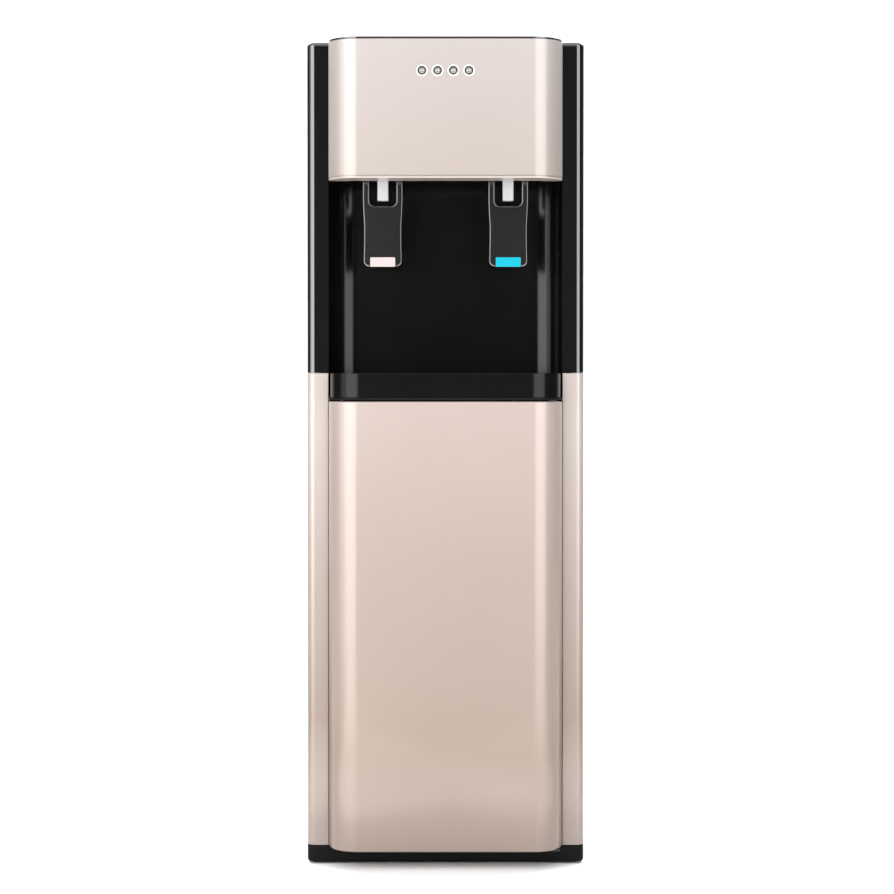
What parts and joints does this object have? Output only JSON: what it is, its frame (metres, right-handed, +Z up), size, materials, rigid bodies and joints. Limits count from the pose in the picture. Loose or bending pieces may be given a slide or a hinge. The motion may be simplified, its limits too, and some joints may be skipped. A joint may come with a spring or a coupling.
{
  "type": "floor-standing water dispenser",
  "caption": "Tall water dispenser on a plinth: bowed rose-gold door and head, black cup niche with two push levers over a drip tray, and filters behind the door.",
  "frame": {"origin": "centre of the object's box on the floor, under the four feet", "axes": "+X to the viewer's right as seen from the front, +Y towards the wall behind, +Z up; the door, taps and tray face -Y"},
  "size_m": [0.32, 0.33, 0.95],
  "materials": {
    "rose_gold": "satin metallic rose-gold paint",
    "gloss_black": "high-gloss black",
    "satin_black": "fine matt texture",
    "painted_black": "matt black paint",
    "rubber": "moulded",
    "dark_grey": "satin",
    "off_white": "satin",
    "warm_white": "translucent insert",
    "cyan": "translucent insert",
    "lens": "silvered lens",
    "steel": "zinc-plated",
    "polished_steel": "polished",
    "foam": "expanded foam",
    "circuit_board": "solder mask",
    "blue_plastic": "moulded",
    "red_plastic": "moulded"
  },
  "bodies": {
    "cabinet": {"base_plinth": "satin_black", "foot_front_left": "rubber", "foot_front_right": "rubber", "foot_rear_left": "rubber", "foot_rear_right": "rubber", "left_lower_side_panel": "rose_gold", "right_lower_side_panel": "rose_gold", "left_upper_side_panel": "gloss_black", "right_upper_side_panel": "gloss_black", "top_cover": "gloss_black", "rear_upper_cover": "satin_black", "rear_lower_panel": "satin_black", "head_front_panel": "rose_gold", "niche_liner": "gloss_black", "mid_frame": "satin_black", "door_magnet": "dark_grey", "upper_hinge_pin": "steel", "lower_hinge_bracket": "steel", "cabinet_liner": "off_white", "filter_manifold": "dark_grey", "indicator_light_1": "lens", "indicator_light_2": "lens", "indicator_light_3": "lens", "indicator_light_4": "lens", "indicator_board": "circuit_board", "control_board": "circuit_board", "hot_tap_body": "satin_black", "cold_tap_body": "satin_black", "hot_nozzle": "polished_steel", "cold_nozzle": "polished_steel", "hot_lever_pin": "steel", "cold_lever_pin": "steel", "cold_tank": "polished_steel", "hot_tank": "polished_steel", "cold_tank_insulation": "foam", "hot_tank_insulation": "foam", "cold_hose": "off_white", "hot_hose": "off_white", "compressor": "painted_black", "condenser_coil": "painted_black", "booster_pump": "dark_grey", "power_inlet": "satin_black", "water_inlet_fitting": "blue_plastic"},
    "door": {"door_shell": "rose_gold", "door_liner": "off_white", "door_strike": "steel"},
    "tray": {"drip_tray": "gloss_black"},
    "grille": {"drip_grille": "satin_black"},
    "hot_tap_lever": {"hot_lever": "dark_grey", "hot_marker": "warm_white"},
    "cold_tap_lever": {"cold_lever": "dark_grey", "cold_marker": "cyan"},
    "filter_1": {"filter_cartridge_1": "off_white"},
    "filter_2": {"filter_cartridge_2": "off_white"},
    "filter_3": {"filter_cartridge_3": "off_white"},
    "hot_rocker": {"hot_switch": "red_plastic"},
    "cold_rocker": {"cold_switch": "blue_plastic"},
    "drain_screw": {"drain_cap": "red_plastic"}
  },
  "joints": [
    {"name": "door_hinge", "type": "hinge", "parent": "cabinet", "child": "door", "pos_m": [0.1228, -0.143, 0.28], "axis": [0, 0, 1], "range_deg": [0, 105]},
    {"name": "drip_tray_slide", "type": "slide", "parent": "cabinet", "child": "tray", "axis": [0, -1, 0], "range_m": [0, 0.12]},
    {"name": "drip_grille_lift", "type": "slide", "parent": "tray", "child": "grille", "axis": [0, 0, 1], "range_m": [0, 0.04]},
    {"name": "hot_lever_push", "type": "hinge", "parent": "cabinet", "child": "hot_tap_lever", "pos_m": [-0.0725, -0.121, 0.7985], "axis": [1, 0, 0], "range_deg": [0, 12], "stiffness_Nm_per_rad": 1, "springref_deg": -5.73},
    {"name": "cold_lever_push", "type": "hinge", "parent": "cabinet", "child": "cold_tap_lever", "pos_m": [0.0725, -0.121, 0.7985], "axis": [1, 0, 0], "range_deg": [0, 12], "stiffness_Nm_per_rad": 1, "springref_deg": -5.73},
    {"name": "filter_twist_1", "type": "hinge", "parent": "cabinet", "child": "filter_1", "pos_m": [-0.077, -0.04, 0.45], "axis": [0, 0, 1], "range_deg": [0, 90]},
    {"name": "filter_twist_2", "type": "hinge", "parent": "cabinet", "child": "filter_2", "pos_m": [0, -0.04, 0.45], "axis": [0, 0, 1], "range_deg": [0, 90]},
    {"name": "filter_twist_3", "type": "hinge", "parent": "cabinet", "child": "filter_3", "pos_m": [0.077, -0.04, 0.45], "axis": [0, 0, 1], "range_deg": [0, 90]},
    {"name": "hot_switch_rock", "type": "hinge", "parent": "cabinet", "child": "hot_rocker", "pos_m": [0.1, 0.1545, 0.7], "axis": [1, 0, 0], "range_deg": [-7, 7]},
    {"name": "cold_switch_rock", "type": "hinge", "parent": "cabinet", "child": "cold_rocker", "pos_m": [0.066, 0.1545, 0.7], "axis": [1, 0, 0], "range_deg": [-7, 7]},
    {"name": "drain_cap_unscrew", "type": "hinge", "parent": "cabinet", "child": "drain_screw", "pos_m": [0.05, 0.162, 0.085], "axis": [0, 1, 0], "continuous": true}
  ]
}
